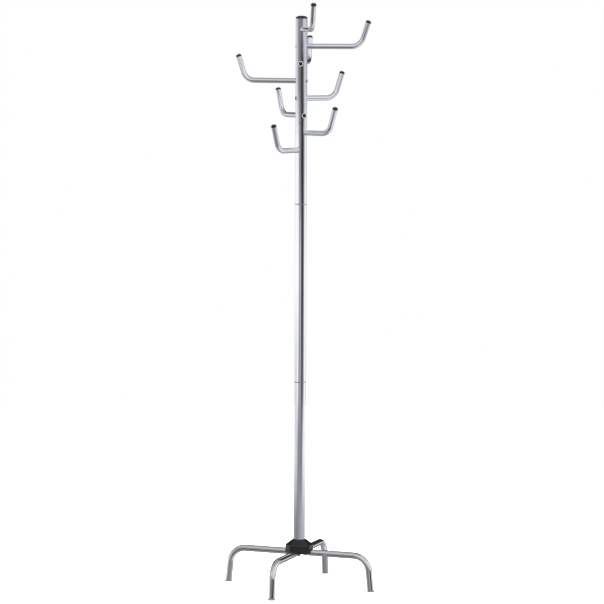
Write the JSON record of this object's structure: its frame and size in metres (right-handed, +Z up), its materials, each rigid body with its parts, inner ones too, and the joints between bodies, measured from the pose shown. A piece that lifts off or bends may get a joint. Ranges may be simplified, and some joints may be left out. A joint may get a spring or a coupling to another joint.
{
  "type": "standing coat rack",
  "caption": "Free-standing chromed coat rack: a round post in screwed lengths, bent tube hooks spiralling round its top, and a black hub with bent tube legs.",
  "frame": {"origin": "on the floor, on the post's axis, which is also the centre of the four feet", "axes": "+Z up along the post; the legs lie along +X, +Y, -X and -Y; the topmost hook points towards +X and -Y"},
  "size_m": [0.4688, 0.4688, 1.7114],
  "materials": {
    "chromed_tube": "bright chrome plate, mirror smooth",
    "black_plastic": "moulded black plastic, semi-gloss",
    "foot_plastic": "soft grey plastic, matt",
    "plain_steel": "zinc plated, dull"
  },
  "bodies": {
    "root": {"post_lower": "chromed_tube", "post_middle": "chromed_tube", "post_upper": "chromed_tube", "hook_1": "chromed_tube", "hook_2": "chromed_tube", "hook_3": "chromed_tube", "hook_4": "chromed_tube", "hook_5": "chromed_tube", "hook_6": "chromed_tube", "hook_7": "chromed_tube", "hook_8": "chromed_tube", "leg_1": "chromed_tube", "leg_2": "chromed_tube", "leg_3": "chromed_tube", "leg_4": "chromed_tube", "post_cap": "black_plastic", "hub_cover": "black_plastic", "hook_cap_1": "black_plastic", "hook_cap_2": "black_plastic", "hook_cap_3": "black_plastic", "hook_cap_4": "black_plastic", "hook_cap_5": "black_plastic", "hook_cap_6": "black_plastic", "hook_cap_7": "black_plastic", "hook_cap_8": "black_plastic", "hook_plug_1": "black_plastic", "hook_plug_2": "black_plastic", "hook_plug_3": "black_plastic", "hook_plug_4": "black_plastic", "hook_plug_5": "black_plastic", "hook_plug_6": "black_plastic", "hook_plug_7": "black_plastic", "hook_plug_8": "black_plastic", "foot_1": "foot_plastic", "foot_2": "foot_plastic", "foot_3": "foot_plastic", "foot_4": "foot_plastic", "joint_socket_lower": "plain_steel", "joint_socket_upper": "plain_steel", "joint_stud_lower": "plain_steel", "joint_stud_upper": "plain_steel", "post_foot_insert": "plain_steel", "hub_spider": "plain_steel", "hub_stud": "plain_steel", "hub_washer": "plain_steel", "hub_nut": "plain_steel", "leg_screw_1": "plain_steel", "leg_screw_2": "plain_steel", "leg_screw_3": "plain_steel", "leg_screw_4": "plain_steel"}
  },
  "joints": []
}
